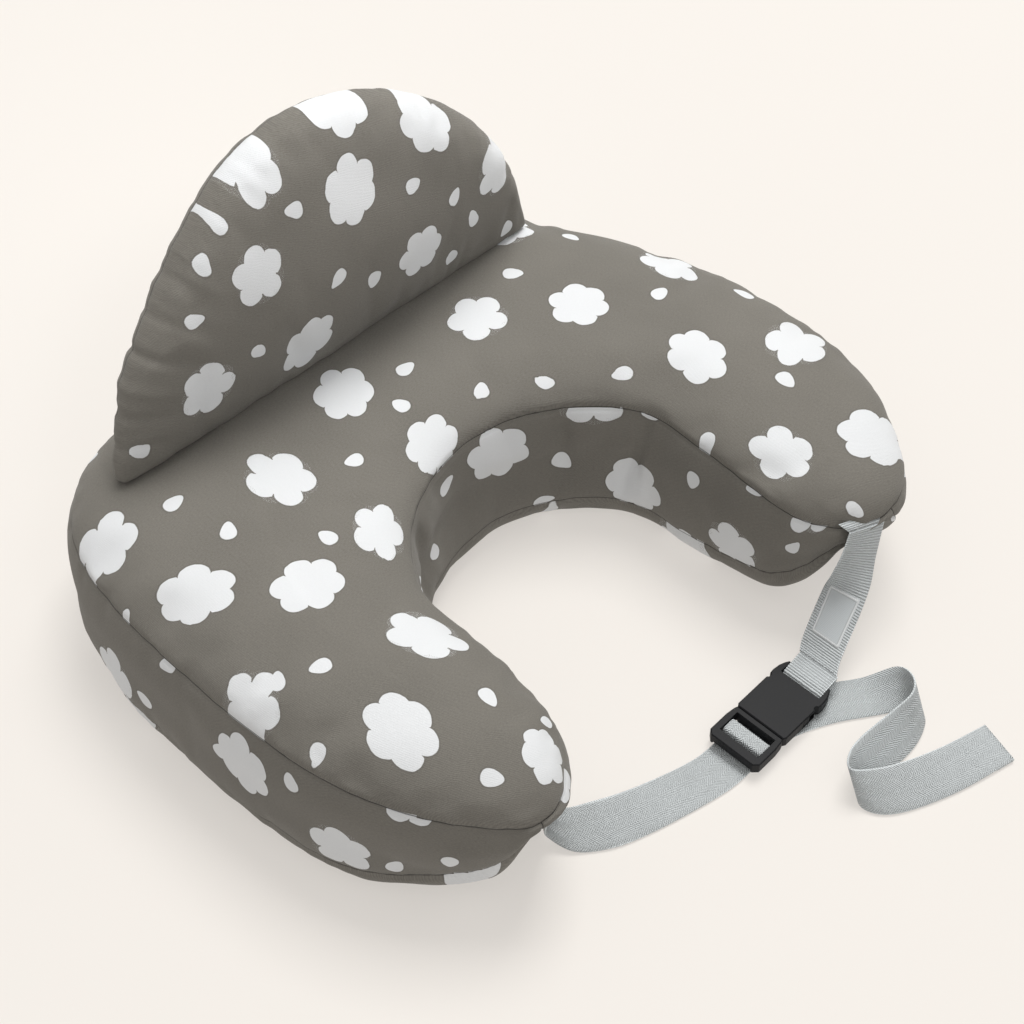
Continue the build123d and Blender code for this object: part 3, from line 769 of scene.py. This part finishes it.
def shape_cushion(rest):
    """The stuffed shape, a little slack, from the plain solid's points."""
    s, w, n, top, low = on_cushion(rest)
    z = rest[:, 2]
    share = tip_share(rest[:, 1])
    crown = HEIGHT - 19.0 * share + 1.0
    side = np.clip(1 - w / SIDE_REACH, 0, 1)
    foot = np.clip(1 - w / FOOT_REACH, 0, 1)
    new = rest.copy()
    # walls bulge between their seams, and the base rolls under to a flat
    q = np.clip((z - (top + low) / 2) / ((top - low) / 2), -1, 1)
    wall = (z <= top) & (z >= low)
    rolled = np.where(wall, 0.0, SEAM_IN * foot ** 2)
    out = np.where(wall, FILL_IN - SEAM_IN * q * q - FILL_IN * (1 - q * q), FILL_IN - rolled)
    new[:, :2] += n * (out * np.where(wall, 1.0, foot))[:, None]
    # the top is one dome from seam to seam
    t = np.clip(w / DOME_REACH, 0, 1)
    dome = top + (crown - top) * (1 - (1 - t) ** 2.35) ** 0.5
    new[:, 2] = np.where(z > top, dome, new[:, 2])
    drop = np.clip((low - z) / (low - 42.0 * share - 2.0), 0, 1)
    new[:, 2] = np.where(z < low, z - 2.0 * drop ** 2, new[:, 2])
    # the waist side is drawn in, and its upper seam stands a little higher
    drawn = table(s, DRAWN_IN) * side ** 1.5
    stands = table(s, FOOT_OUT) * smooth_step((78 - z) / 55) * foot
    new[:, :2] += n * (stands - drawn)[:, None]
    new[:, 2] += table(s, SEAM_RAISED) * side * smooth_step((z - 40) / 60)
    new[:, 2] -= table(s, CROWN_DROPPED) * side * smooth_step((z - 60) / 60)
    # both bands narrow to nothing at the arm tips, and the underside slopes up there
    narrow = np.maximum(tip_bell(s, RIGHT_TIP, 40.0, 60.0), tip_bell(s, LEFT_TIP, 50.0, 25.0))
    narrow = 0.88 * narrow * (1 - smooth_step(w / 75))
    new[:, 2] = np.where(z < top, top - (top - new[:, 2]) * (1 - narrow), new[:, 2])
    return new


def seam_distances(rest):
    """Outline measures, signed distances to the top and low seams, and to the tip seams."""
    s, w, _, top, low = on_cushion(rest)
    z = rest[:, 2]
    to_top = np.where(z > top, np.hypot(z - top, w), z - top)
    to_low = np.where(z < low, np.hypot(low - z, w), low - z)
    return s, w, to_top, to_low, np.abs(rest[:, 0]) - TIP_SEAM_X


def by_seam(distance):
    return smooth_step(1 - np.abs(distance) / 7.0)


cushion = remeshed("cushion_cover", "pillow_filling", 6.0)
rest = points_of(cushion.data)
write_attribute(cushion.data, "rest", rest, "POINT")
s, w, to_top, to_low, to_tip = seam_distances(rest)
in_band = (to_top < 0) & (to_low < 0)
pin = np.maximum(by_seam(to_top), by_seam(to_low))
pin = np.maximum(pin, np.where(in_band & (rest[:, 1] < ARM_Y), by_seam(to_tip), 0))
zip_zone = in_band & (rest[:, 1] > ZIP_Y) & (np.abs(rest[:, 0]) < 150)
pin = np.maximum(pin, np.where(zip_zone, smooth_step((22 - np.abs(rest[:, 2] - ZIP_Z)) / 8), 0))
pin = np.where(rest[:, 2] < 3.5, 1.0, pin)
mesh, rest, points, normals = puffed_up(cushion, shape_cushion(rest), np.minimum(pin * 1.25, 1.0),
                                        7.0)
s, w, to_top, to_low, to_tip = seam_distances(rest)
in_band = (to_top < 0) & (to_low < 0)


def drift(values, pitch, seed):
    """A smooth random wave along a length, from -1 to 1."""
    local = np.random.default_rng(seed)
    knots = local.uniform(-1, 1, int(3000 / pitch) + 4)
    at = (values % 3000) / pitch
    i = at.astype(int)
    t = smooth_step(at - i)
    return knots[i] * (1 - t) + knots[i + 1] * t


push = np.zeros(len(points))
# short puckers on both sides of the seams
for distance, seed in ((to_top, 3), (to_low, 5)):
    ripple = drift(s, 9.0, seed) * 0.55 + drift(s, 23.0, seed + 1) * 0.6
    push += ripple * bell(np.abs(distance) - 6.0, 9.0)
    push -= 1.3 * bell(distance, 3.2)
at_tip = in_band & (rest[:, 1] < ARM_Y)
push -= np.where(at_tip, 1.3 * bell(to_tip, 3.2), 0)
push += np.where(at_tip, drift(rest[:, 2] * 4, 31.0, 9) * 0.9 * bell(np.abs(to_tip) - 7, 9.0), 0)
# soft folds across the inner band where it turns the corners
for place, depth, width in ((1101, 2.6, 7.0), (1118, -1.6, 9.0), (1043, 3.4, 7.0), (1029, -2.2, 9.0),
                            (1256, 2.6, 7.0), (1240, -1.6, 9.0), (1312, 3.0, 7.0), (1326, -2.0, 9.0),
                            (900, 1.6, 8.0), (1460, 1.5, 8.0)):
    bend = place + 5.0 * np.sin(rest[:, 2] / 23.0 + place)
    window = smooth_step(-to_top / 22) * smooth_step(-to_low / 22)
    push -= np.where(in_band, depth * bell(s - bend, width) * window, 0)
# slow unevenness of the filling
push += 0.9 * drift(s + w * 1.4, 62.0, 21) * smooth_step((rest[:, 2] - 8) / 20)
push = np.where(rest[:, 2] < 4.0, 0, push)
points = points + normals * push[:, None]
# the band lies flat behind the zip, which stands in a narrow gap
radial = np.hypot(points[:, 0], points[:, 1] - BACK_CENTRE)
angle = np.arctan2(points[:, 0], points[:, 1] - BACK_CENTRE)
behind = in_band & (rest[:, 1] > ZIP_Y)
ends = smooth_step((ZIP_HALF + 0.012 - np.abs(angle)) / 0.010)
gap = smooth_step((8.2 - np.abs(points[:, 2] - ZIP_Z)) / 2.2) * ends
welt = bell(np.abs(points[:, 2] - ZIP_Z) - 9.5, 3.0) * smooth_step(
    (ZIP_HALF + 0.03 - np.abs(angle)) / 0.02)
wanted = radial * (1 - gap) + (BACK_RADIUS - 1.9) * gap
wanted = wanted * (1 - welt) + np.maximum(wanted, BACK_RADIUS + 0.6) * welt
scale = np.where(behind, wanted / radial, 1.0)
points[:, 0] *= scale
points[:, 1] = BACK_CENTRE + (points[:, 1] - BACK_CENTRE) * scale
points[:, 2] = np.maximum(points[:, 2], 0.05)
set_points(mesh, points)

corners = Corners(mesh)
mean_top, mean_low, mean_x, mean_y = (
    corners.mean(values[corners.vertex])
    for values in (to_top, to_low, np.abs(rest[:, 0]), rest[:, 1]))
TOP, BOTTOM, OUTER, INNER = range(4)
panel = np.where(mean_top > 0, TOP, np.where(mean_low > 0, BOTTOM, OUTER))
panel = np.where((panel == OUTER) & (mean_x < TIP_SEAM_X) & (mean_y < 60), INNER, panel)
corner_panel = panel[corners.face]
# a face that spans the outline's two ends is laid past its end
corner_s = s[corners.vertex]
wraps = (np.abs(corner_s - corners.mean(corner_s)[corners.face]) > 300) & (corner_s < ROUND / 2)
corner_s = np.where(wraps, corner_s + ROUND, corner_s)
corner_rest = rest[corners.vertex]
corner_uv = np.where((corner_panel <= BOTTOM)[:, None], corner_rest[:, :2],
                     np.column_stack([corner_s, corner_rest[:, 2]]))
lists = [print_lists(TOP_CLOUDS, TOP_DROPS, (-320, -300), (320, 300)),
         print_lists([], [], (-320, -300), (320, 300)),
         print_lists(OUTER_CLOUDS, OUTER_DROPS, (0, 20), (ROUND, 135)),
         print_lists(INNER_CLOUDS, INNER_DROPS, (700, 20), (1700, 135))]
lay_cloth(mesh, corners, panel, corner_uv, lists,
          np.where((np.abs(mean_top) < np.abs(mean_low))[corners.face], to_top[corners.vertex],
                   to_low[corners.vertex]),
          np.where((corner_panel >= OUTER) & (mean_y[corners.face] < ARM_Y),
                   to_tip[corners.vertex], NO_SEAM))
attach(cushion, "cushion")
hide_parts("pillow_filling", "inner_casing", "cover_top_panel", "cover_bottom_panel",
            "cover_inner_band", "cover_outer_band", "guard_anchor_tape")

# ---- head guard ----
GUARD_AT = np.array([-4.0, 188.0, 189.2])
GUARD_BASE, GUARD_RADIUS = 36.0, 225.0
RIM = 223.8               # the radius of the guard's filling
RIM_BACK = 9.0            # how far the rim seam lies behind the middle of the edge
lean, turn = math.radians(11.0), math.radians(-3.0)
along_u = np.array([math.cos(turn), math.sin(turn), 0])
along_v = np.array([-math.sin(turn) * math.sin(lean), math.cos(turn) * math.sin(lean),
                    math.cos(lean)])
along_n = np.cross(along_u, along_v)
guard_foot = GUARD_AT - along_v * GUARD_BASE

guard = remeshed("head_guard_cover", "guard_filling", 5.0)
local = (points_of(guard.data) - guard_foot) @ np.stack([along_u, along_v, along_n], 1)
write_attribute(guard.data, "rest", local, "POINT")


def shape_guard(local):
    """The half-moon's arc drawn in a little on its shoulders."""
    u, v, d = local.T
    r = np.hypot(u, v)
    theta = np.arctan2(np.maximum(v, 0), u)
    shoulder = np.where(u < 0, 20.0, 7.0)
    size = 1 - (shoulder * np.sin(2 * theta) ** 2 + 3.5 * np.sin(theta) ** 2) / GUARD_RADIUS
    share = smooth_step(r / 200)
    size = 1 + (size - 1) * share
    thin = 1 - 0.42 * (1 - smooth_step((v + 20) / 130))
    ended = 1 - 0.06 * smooth_step(u / GUARD_RADIUS) * (1 - smooth_step(v / 220))
    ended = ended - 0.02 * smooth_step(-u / GUARD_RADIUS) * smooth_step(v / 60)
    fuller = 1 + 0.30 * smooth_step((v - 40) / 110) * (d > 0)
    return np.column_stack([u * size * ended, np.where(v > 0, v * size, v), d * thin * fuller])


shaped = guard_foot + shape_guard(local) @ np.stack([along_u, along_v, along_n])
u, v, d = local.T
r = np.hypot(u, v)
pin = smooth_step(1 - (RIM - r) / 9.0) * (v > 4)
pin = np.maximum(pin, smooth_step(1 - (v - 2) / 9.0))
mesh, local, points, normals = puffed_up(guard, shaped, np.clip(pin * 1.2, 0, 1), 8.0)
u, v, d = local.T
r = np.hypot(u, v)
theta = np.arctan2(v, u)
arc = theta * GUARD_RADIUS
to_rim = RIM - r
push = -1.2 * bell(d + RIM_BACK, 2.6) * smooth_step((r - 205) / 12) * (v > 6)
ripple = drift(arc + 800, 9.0, 31) * 0.6 + drift(arc + 800, 21.0, 33) * 0.8
push += ripple * bell(to_rim - 9, 11.0) * (v > 10)
# puckers along the left edge, and creases by the right end of the base
for place, depth, width, reach in ((2.62, 2.2, 5.0, 34), (2.76, -1.4, 6.0, 30), (2.86, 1.8, 5.0, 30),
                                   (2.98, 1.3, 4.0, 26), (2.47, 1.3, 5.0, 26), (2.3, 1.0, 5.0, 24)):
    push -= depth * bell((theta - place) * r, width) * bell(to_rim - 8, reach) * (v > 6)
for place, slope, depth in ((112, 0.10, 2.0), (126, 0.16, 1.5), (96, 0.02, 0.9)):
    push -= (depth * bell(u - place - slope * v, 4.5) * smooth_step((v - 2) / 12)
             * smooth_step((62 - v) / 40) * (d > 0))
ripple = drift(u + 900, 13.0, 41) * 0.7 + drift(u + 900, 37.0, 43) * 1.0
push += ripple * bell(v - 12, 12.0)
push += 0.8 * drift(u + 1.3 * v + 900, 55.0, 47) * smooth_step(v / 25)
points = points + normals * push[:, None]
points[:, 2] = np.maximum(points[:, 2], HEIGHT + 1.6)
set_points(mesh, points)

corners = Corners(mesh)
panel = (corners.mean(d[corners.vertex]) < -RIM_BACK).astype(int)
corner_uv = local[corners.vertex][:, :2]
back_clouds, back_drops = print_lists([], [], (-190, 25), (190, 190))
lists = [(np.array(GUARD_CLOUDS, float), np.array(GUARD_DROPS, float)),
         (back_clouds[np.hypot(*back_clouds.T) < 178], back_drops[np.hypot(*back_drops.T) < 205])]
lay_cloth(mesh, corners, panel, corner_uv, lists,
          np.where((v > 2) & (r > 150), d + RIM_BACK, NO_SEAM)[corners.vertex],
          np.full(len(corners.vertex), NO_SEAM))
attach(guard, "head_guard")
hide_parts("guard_filling", "guard_front_panel", "guard_back_panel", "guard_base_strip")


# ---- belt: webbing ----
WEB, WEB_T = 38.0, 1.5
BELT_Y = (-276.5, -238.5)     # the belt's two edges where it runs through the buckle


def unit(v):
    return v / np.linalg.norm(v)


def run_lengths(points):
    """How far along the path through them each of the points lies."""
    steps = np.linalg.norm(np.diff(points, axis=0), axis=1)
    return np.concatenate([[0.0], np.cumsum(steps)])


def point_at(at, run, path):
    return np.array([np.interp(at, run, path[:, k]) for k in range(3)])


def smooth_run(stations, steps):
    """Pairs of edge points, evenly filled in along a smooth curve."""
    pairs = np.reshape(np.array(stations, float), (-1, 2, 3))
    found = []
    for i in range(len(pairs) - 1):
        a, b = pairs[max(i - 1, 0)], pairs[i]
        c, d = pairs[i + 1], pairs[min(i + 2, len(pairs) - 1)]
        for k in range(steps):
            t = k / steps
            found.append(b + 0.5 * ((c - a) * t + (2 * a - 5 * b + 4 * c - d) * t * t
                                    + (3 * b - a - 3 * c + d) * t ** 3))
    found.append(pairs[-1])
    return np.array(found)


# the webbing's outline across: share of its half width, and of its thickness
SECTION = [(0.35, 0.5), (0.7, 0.5), (0.955, 0.5), (0.985, 0.32), (1.0, 0.0)]
SECTION = [(-a, b) for a, b in SECTION[::-1]] + [(0.0, 0.5)] + SECTION
SECTION = SECTION + [(a, -b) for a, b in SECTION[-2:0:-1]]


def tube_faces(rings, size, base=0):
    """Faces of a closed tube, from rings of size points each, with its two ends capped."""
    faces = [tuple(base + n for n in (i * size + k, i * size + j, (i + 1) * size + j,
                                      (i + 1) * size + k))
             for i in range(rings - 1) for k, j in zip(range(size), [*range(1, size), 0])]
    last = base + (rings - 1) * size
    return faces + [tuple(range(base, base + size))[::-1], tuple(range(last, last + size))]


def strip(name, edges, material, lift=0.0, start=0.0):
    """A closed length of webbing through pairs of edge points, with rounded selvedges."""
    edges = np.array(edges, float)
    mids = edges.mean(1)
    along = run_lengths(mids) + start
    points, web = [], []
    for i, (low, high) in enumerate(edges):
        across = high - low
        half = np.linalg.norm(across) / 2
        way = mids[min(i + 1, len(mids) - 1)] - mids[max(i - 1, 0)]
        way = way - across * (way @ across) / (across @ across)
        up = unit(np.cross(way, across))
        for a, b in SECTION:
            points.append(mids[i] + across * (a / 2) + up * (b * WEB_T + lift))
            web.append((along[i], a * half, b))
    obj = mesh_object(name, points, tube_faces(len(edges), len(SECTION)), material)
    write_attribute(obj.data, "web", np.array(web), "POINT")
    return obj, float(along[-1] - start)


def rounded_path(corners, radius=2.4, count=6):
    """A polyline in (x, z) with its corners turned into arcs, as edge pairs of the belt."""
    corners = [np.array(c, float) for c in corners]
    path = [corners[0]]
    for a, b, c in zip(corners, corners[1:], corners[2:]):
        into, out = unit(b - a), unit(c - b)
        bend = math.acos(max(-1, min(1, float(into @ out))))
        back = min(radius * math.tan(bend / 2), 0.45 * min(np.linalg.norm(b - a),
                                                           np.linalg.norm(c - b)))
        p, q = b - into * back, b + out * back
        for k in range(count + 1):
            t = k / count
            path.append(p * (1 - t) ** 2 + b * 2 * t * (1 - t) + q * t * t)
    path.append(corners[-1])
    return [tuple((x, y, z) for y in BELT_Y) for x, z in path]


# where each strap's two edges run: x, y, z of one edge, then of the other
LABEL_RUN = [(191.5, -239, 104, 157, -229.5, 112), (178, -245.5, 76, 148, -231.5, 94),
             (164.5, -253.5, 58.5, 141, -229.5, 72.5), (144, -260.5, 43.5, 139, -225, 49.5),
             (112, -269.5, 24, 112, -231.5, 23.5), (100, -275.5, 18, 100, -237.5, 18)]
LEFT_RUN = [(-186, -228, 101, -155, -211, 103), (-176, -214, 50, -161, -196, 78),
            (-166, -207, 15, -158, -190, 44), (-155, -226, 2.5, -144, -200, 24),
            (-131.5, -244.5, 1.6, -120, -211, 18), (-103.5, -256, 1.4, -92.5, -221, 12),
            (-68.4, -266.4, 1.4, -60, -230, 6), (-34, -274.5, 1.4, -31, -236.5, 1.8),
            (-13.4, -276.5, 1.6, -13.4, -238.5, 1.6)]
TAIL_RUN = [(26.4, -276.5, 1.6, 26.4, -238.5, 1.6), (50, -284, 1.4, 60, -247, 1.6),
            (76, -297, 1.4, 94, -264, 2.0), (105, -317, 1.4, 123, -285, 3.0),
            (124, -330, 1.4, 139, -305, 22), (129, -341, 1.4, 133, -323, 34),
            (120, -350, 1.4, 119, -333, 35), (96, -356, 1.4, 95, -330, 29),
            (61, -354, 1.4, 62, -327, 28), (40, -348, 1.4, 39, -332, 35),
            (27, -358, 1.4, 30, -340, 34), (32, -374, 1.4, 42, -349, 28),
            (52, -389, 1.4, 66, -361, 22), (92, -406, 1.8, 107, -373, 11),
            (143, -420, 3.0, 154, -384, 3.2)]

label_edges = smooth_run(LABEL_RUN, 10)
label_strap, label_length = strip("label_strap_web", label_edges, rib_web)
left_edges = smooth_run(LEFT_RUN, 8)
left_strap, left_length = strip("left_strap_web", left_edges, twill_web)
tail_edges = smooth_run(TAIL_RUN, 8)
tail, tail_length = strip("belt_tail_web", tail_edges, twill_web, start=240.0)
label_loop, loop_length = strip(
    "label_loop_web",
    rounded_path([(100, 18), (84, 14.2), (78.4, 12), (78.4, 8), (84, 5.6), (99.2, 15.6)]),
    rib_web, start=label_length)
adjuster, adjuster_length = strip(
    "adjuster_web",
    rounded_path([(-13.4, 1.6), (0.4, 1.6), (4, 12.6), (14.8, 12.6), (18.4, 1.6), (26.4, 1.6)]),
    twill_web, start=left_length)

for piece, body, node in ((label_strap, "cushion", "label_strap"),
                          (label_loop, "cushion", "label_strap_loop"),
                          (adjuster, "buckle_plug_body", "adjuster_loop"),
                          (tail, "buckle_plug_body", "belt_tail")):
    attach(piece, body)
    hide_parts(node)
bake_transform(left_strap)
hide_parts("left_strap")

# the tail's turned-under hem
hem, hem_length = strip("tail_hem_web", tail_edges[-4:], twill_web, lift=-(WEB_T + 0.05),
                        start=500.0)
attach(hem, "buckle_plug_body")
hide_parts("tail_hem")

# label: a blank satin patch with a raised woven border
LABEL_LONG, LABEL_HALF = 42.0, 13.5
strap_mids = label_edges.mean(1)
strap_along = run_lengths(strap_mids)
label_middle = strap_along[-1] * 0.66
rows, columns = 43, 28
grid, web = [], []
for i in range(rows):
    at = label_middle + LABEL_LONG * (i / (rows - 1) - 0.5)
    pair = [point_at(at, strap_along, label_edges[:, e]) for e in (0, 1)]
    across = unit(pair[1] - pair[0])
    ahead = point_at(at + 1, strap_along, strap_mids) - point_at(at - 1, strap_along, strap_mids)
    up = unit(np.cross(across, ahead))
    for j in range(columns):
        v = -LABEL_HALF + 2 * LABEL_HALF * j / (columns - 1)
        inward = min(LABEL_LONG / 2 - abs(at - label_middle), LABEL_HALF - abs(v))
        raised = math.exp(-((inward - 1.1) / 0.9) ** 2)
        lift = WEB_T / 2 + 0.35 + 0.45 * raised - (0.5 if inward <= 0 else 0)
        grid.append((pair[0] + pair[1]) / 2 + across * v + up * lift)
        web.append((at, v, min(1.0, raised * 1.3)))
faces = [(i * columns + j, i * columns + j + 1, (i + 1) * columns + j + 1, (i + 1) * columns + j)
         for i in range(rows - 1) for j in range(columns - 1)]
patch = mesh_object("label_patch_cloth", grid, faces, label_material)
write_attribute(patch.data, "web", np.array(web), "POINT")
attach(patch, "cushion")
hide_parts("label_patch")


def caught_end(name, first, material, node):
    """The last few millimetres of a strap, running into the seam inside the cover."""
    first, inward = np.reshape(np.array(first, float), (2, 3)), np.array((-4, 9, 6))
    obj, length = strip(name, [first, first + inward * 0.5, first + inward], material)
    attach(obj, "cushion")
    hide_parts(node)
    return obj, length


label_end, label_end_length = caught_end("label_strap_end", LABEL_RUN[0], rib_web,
                                         "label_strap_anchor")
left_end, left_end_length = caught_end("left_strap_end", LEFT_RUN[0], twill_web,
                                       "left_strap_anchor")

STITCH, THREAD = 3.2, 0.32      # a stitch's length and a thread's radius
STITCH_GAP = 0.4                # left free at both ends of a stitch


def threads(name, path, up, body):
    """A row of stitches: short raised loops of thread along a path of points."""
    path = np.array(path, float)
    run = run_lengths(path)
    points, faces = [], []
    for k in range(int(run[-1] / STITCH)):
        p = point_at(k * STITCH + STITCH_GAP, run, path)
        q = point_at((k + 1) * STITCH - STITCH_GAP, run, path)
        way = unit(q - p)
        normal = unit(up - way * (up @ way))
        side = np.cross(way, normal)
        faces += tube_faces(4, 6, len(points))
        for t, lift in ((0.0, -0.15), (0.25, 0.22), (0.75, 0.22), (1.0, -0.15)):
            for angle in np.arange(6) * (math.pi / 3):
                points.append(p + (q - p) * t + normal * (lift + THREAD * math.sin(angle))
                              + side * THREAD * math.cos(angle))
    obj = mesh_object(name, points, faces, thread_material)
    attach(obj, body)


def cross_row(edges, at, lift):
    """Two points across a strip, 3 mm in from its edges, and the way up from it."""
    low, high = edges[at]
    before, after = edges[at - 1].mean(0), edges[at + 1].mean(0)
    up = unit(np.cross(after - before, high - low))
    inward = unit(high - low) * 3.0
    return [low + inward + up * lift, high - inward + up * lift], up


# stitch rows on the tail's hem and by the socket
row, up = cross_row(tail_edges, -6, WEB_T / 2 + 0.05)
threads("hem_stitch", row, up, "buckle_plug_body")
row, up = cross_row(label_edges, -3, -(WEB_T / 2 + 0.05))
threads("loop_stitch_a", row, -up, "cushion")

for piece, length, held in ((label_strap, label_length, "stretched"),
                            (label_loop, loop_length, "folded"),
                            (left_strap, left_length, "stretched"),
                            (adjuster, adjuster_length, "folded"),
                            (tail, tail_length, "laid"), (hem, hem_length, "folded")):
    length * MM
for piece, length in ((label_end, label_end_length), (left_end, left_end_length)):
    length * MM

# ---- buckle and zip: the CAD shapes with real finishes, and the zip's coils ----
for finish, kept in ((plastic, ("buckle_socket", "buckle_plug", "release_arm_left",
                                "release_arm_right")),
                     (tape_material, ("zip_tape_upper", "zip_tape_lower")),
                     (metal_material, ("zip_end_stops", "zip_slider", "zip_pull"))):
    for node in kept:
        nodes[node].data.materials.clear()
        nodes[node].data.materials.append(finish)

TAPE_OUT = BACK_RADIUS - 0.4          # the radius of the tape's outer face
ZIP_END = math.radians(1.0)           # the tape left free of teeth at each end
TOOTH_PITCH, TOOTH_WIDE = 1.6, 1.05
# a tooth's outline: how far from the zip's middle line, and how far out from the tape
TOOTH = ((2.2, 0.35), (1.9, 1.1), (0.45, 1.25), (0.15, 0.7), (0.45, 0.15), (1.9, 0.2))


def coil(name, node, side):
    """A row of small teeth on one tape; the two rows stand half a pitch apart."""
    points, faces = [], []
    radius = TAPE_OUT + 0.7
    first = 0.5 if side > 0 else 0.0
    for k in range(int(2 * (ZIP_HALF - ZIP_END) * radius / TOOTH_PITCH)):
        middle = (k + first) * TOOTH_PITCH / radius - ZIP_HALF + ZIP_END
        for reach, high in TOOTH:
            for half in (-0.5, 0.5):
                angle = middle + half * TOOTH_WIDE / radius
                out = TAPE_OUT + high
                points.append((math.sin(angle) * out, BACK_CENTRE + math.cos(angle) * out,
                               ZIP_Z + side * reach))
        base = k * 12
        for i in range(6):
            j = (i + 1) % 6
            faces.append((base + 2 * i, base + 2 * i + 1, base + 2 * j + 1, base + 2 * j))
        faces.append(tuple(base + 2 * i for i in range(6))[::-1])
        faces.append(tuple(base + 2 * i + 1 for i in range(6)))
    obj = mesh_object(name, points, faces, coil_material, smooth=False)
    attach(obj, "cushion")
    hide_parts(node)


coil("zip_teeth_upper", "zip_coil_upper", 1)
coil("zip_teeth_lower", "zip_coil_lower", -1)
